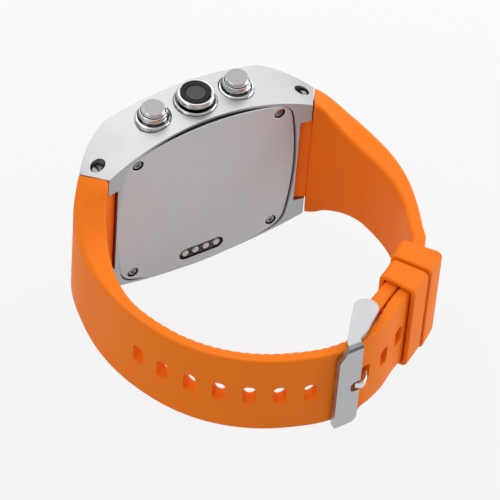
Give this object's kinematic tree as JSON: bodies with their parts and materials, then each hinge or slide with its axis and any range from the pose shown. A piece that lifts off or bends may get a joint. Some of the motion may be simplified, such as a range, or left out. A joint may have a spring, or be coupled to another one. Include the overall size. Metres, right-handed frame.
{
  "type": "wrist watch",
  "caption": "Wrist watch with a barrel-shaped metal case, a camera and pushers in its side, and a holed silicone strap on a pin buckle.",
  "frame": {"origin": "middle of the case back's outer face, which lies on the wrist", "axes": "+Y away from the wrist, along the display's normal; +X along the case, towards the buckle's strap; +Z out of the side with the camera and the pushers"},
  "size_m": [0.073, 0.0742, 0.0473],
  "materials": {
    "satin_steel": "satin",
    "brushed_steel": "brushed along its length",
    "polished_chrome": "polished",
    "contact_plating": "plated, satin",
    "orange_silicone": "smooth matte moulded silicone",
    "seal_rubber": "matte",
    "black_plastic": "moulded",
    "component_black": "moulded",
    "lens_glass": "polished dark window",
    "cover_glass": "polished",
    "circuit_board": "solder mask",
    "battery_foil": "laminated foil",
    "antenna_ceramic": "fired ceramic"
  },
  "bodies": {
    "root": {"mid_case": "satin_steel", "case_back": "brushed_steel", "case_back_gasket": "seal_rubber", "back_screw_1": "brushed_steel", "back_screw_2": "brushed_steel", "back_screw_3": "brushed_steel", "back_screw_4": "brushed_steel", "contact_block": "black_plastic", "contact_pin_1": "contact_plating", "contact_pin_2": "contact_plating", "contact_pin_3": "contact_plating", "contact_pin_4": "contact_plating", "front_bezel": "polished_chrome", "cover_glass": "cover_glass", "display_panel": "black_plastic", "main_board": "circuit_board", "battery": "battery_foil", "speaker": "component_black", "vibration_motor": "polished_chrome", "gps_antenna": "antenna_ceramic", "camera_ring": "polished_chrome", "camera_lens": "lens_glass", "camera_module": "component_black", "button_collar_left": "polished_chrome", "button_collar_right": "polished_chrome", "button_switch_left": "component_black", "button_switch_right": "component_black", "lug_pin_left": "polished_chrome", "lug_pin_right": "polished_chrome", "strap_long": "orange_silicone", "strap_short": "orange_silicone", "keeper_fixed": "orange_silicone", "buckle_pin": "polished_chrome"},
    "button_left": {"button_left": "satin_steel", "button_clip_left": "polished_chrome"},
    "button_right": {"button_right": "satin_steel", "button_clip_right": "polished_chrome"},
    "keeper": {"keeper_sliding": "orange_silicone"},
    "buckle": {"buckle_frame": "satin_steel"},
    "tang": {"buckle_tang": "polished_chrome"}
  },
  "joints": [
    {"name": "button_left_press", "type": "slide", "parent": "root", "child": "button_left", "axis": [0, 0, -1], "range_m": [0, 0.0005], "stiffness_N_per_m": 1500},
    {"name": "button_right_press", "type": "slide", "parent": "root", "child": "button_right", "axis": [0, 0, -1], "range_m": [0, 0.0005], "stiffness_N_per_m": 1500},
    {"name": "keeper_slide", "type": "hinge", "parent": "root", "child": "keeper", "pos_m": [-0.0133, 0.0072, 0], "axis": [0, 0, 1], "range_deg": [0, 2.5]},
    {"name": "buckle_hinge", "type": "hinge", "parent": "root", "child": "buckle", "pos_m": [0.00773, -0.05219, 0], "axis": [0, 0, 1], "range_deg": [0, 2.2]},
    {"name": "tang_hinge", "type": "hinge", "parent": "buckle", "child": "tang", "pos_m": [0.00773, -0.05219, 0], "axis": [0, 0, 1], "range_deg": [0, 2]}
  ]
}
